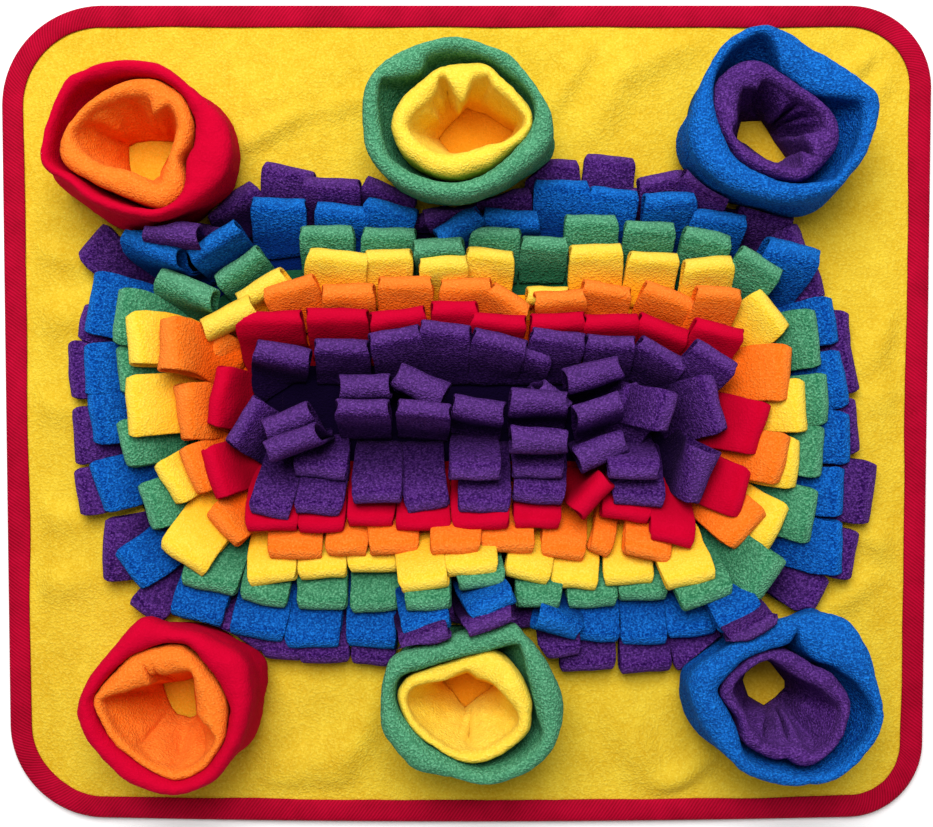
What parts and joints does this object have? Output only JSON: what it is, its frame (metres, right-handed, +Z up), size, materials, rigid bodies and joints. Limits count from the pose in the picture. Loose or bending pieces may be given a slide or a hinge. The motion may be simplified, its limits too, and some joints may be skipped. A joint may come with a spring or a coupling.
{
  "type": "snuffle mat",
  "caption": "Bound fleece mat with a deep pile of rainbow rings of folded loops and lined fleece cups along two edges, for hiding treats.",
  "frame": {"origin": "centre of the mat's underside, on the surface that it lies on", "axes": "+Z up, +X along the mat's long side, +Y towards its far edge, the slightly wider of the two long edges"},
  "size_m": [0.5047, 0.4432, 0.0608],
  "materials": {
    "panel_yellow": "brushed fleece with a short curled nap",
    "binding_crimson": "woven twill tape",
    "fleece_purple": "brushed fleece with a short curled nap",
    "fleece_blue": "brushed fleece with a short curled nap",
    "fleece_green": "brushed fleece with a short curled nap",
    "fleece_yellow": "brushed fleece with a short curled nap",
    "fleece_orange": "brushed fleece with a short curled nap",
    "fleece_red": "brushed fleece with a short curled nap"
  },
  "bodies": {
    "root": {"base_panel": "panel_yellow", "binding_tape": "binding_crimson", "fringe_purple_outer": "fleece_purple", "fringe_blue": "fleece_blue", "fringe_green": "fleece_green", "fringe_yellow": "fleece_yellow", "fringe_orange": "fleece_orange", "fringe_red": "fleece_red", "fringe_purple_inner": "fleece_purple", "fringe_centre_far": "fleece_purple", "fringe_centre_near": "fleece_purple", "cup_wall_far_left": "fleece_red", "cup_wall_far_middle": "fleece_green", "cup_wall_far_right": "fleece_blue", "cup_wall_near_left": "fleece_red", "cup_wall_near_middle": "fleece_green", "cup_wall_near_right": "fleece_blue", "cup_lining_far_left": "fleece_orange", "cup_lining_far_middle": "fleece_yellow", "cup_lining_far_right": "fleece_purple", "cup_lining_near_left": "fleece_orange", "cup_lining_near_middle": "fleece_yellow", "cup_lining_near_right": "fleece_purple"}
  },
  "joints": []
}
